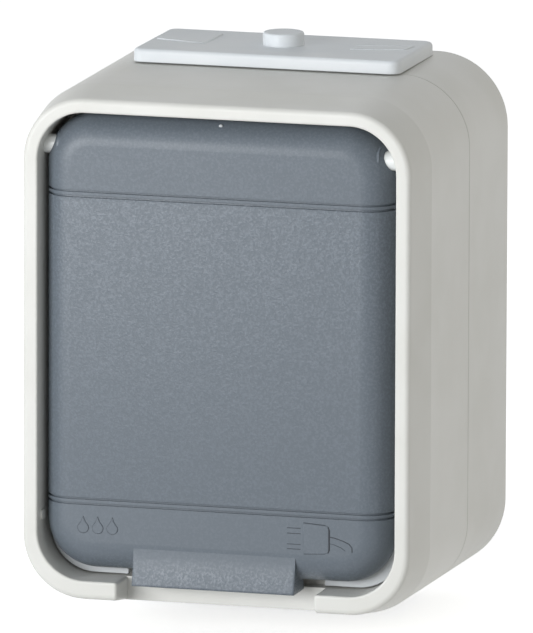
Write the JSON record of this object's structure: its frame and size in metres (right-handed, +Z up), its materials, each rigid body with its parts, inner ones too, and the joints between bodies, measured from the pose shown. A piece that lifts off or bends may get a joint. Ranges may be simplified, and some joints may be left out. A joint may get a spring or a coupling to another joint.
{
  "type": "surface-mounted socket outlet",
  "caption": "Splash-proof surface-mounted single socket with a flared rectangular housing, a top-hinged spring-closed lid with a grip tab, and an earthed round plug recess.",
  "frame": {"origin": "middle of the flat back face that lies on the wall", "axes": "+Y into the wall, -Y out of the front, +X to the right as seen by someone facing the socket, +Z up"},
  "size_m": [0.0696, 0.054, 0.096],
  "materials": {
    "housing": "satin moulded",
    "lid": "fine grain",
    "insert": "satin moulded",
    "carrier": "moulded",
    "entry": "soft moulded",
    "seal": "soft",
    "pin": "smooth",
    "steel": "zinc plated",
    "brass": "plain"
  },
  "bodies": {
    "socket": {"back_box": "housing", "box_seal": "seal", "front_frame": "housing", "socket_front": "insert", "cover_screws": "steel", "centre_screw": "steel", "contact_block": "carrier", "block_screws": "steel", "live_contact": "brass", "neutral_contact": "brass", "contact_springs": "steel", "earth_bracket": "brass", "terminal_screws": "steel", "clamp_plates": "steel", "cable_entry_top": "entry", "cable_entry_bottom": "entry", "hinge_pin_left": "pin", "hinge_pin_right": "pin", "lid_spring": "steel"},
    "flap": {"lid": "lid", "lid_seal": "seal"}
  },
  "joints": [
    {"name": "lid_hinge", "type": "hinge", "parent": "socket", "child": "flap", "pos_m": [0, -0.0493, 0.0334], "axis": [-1, 0, 0], "range_deg": [0, 95], "stiffness_Nm_per_rad": 0.02, "springref_deg": -57.3}
  ]
}
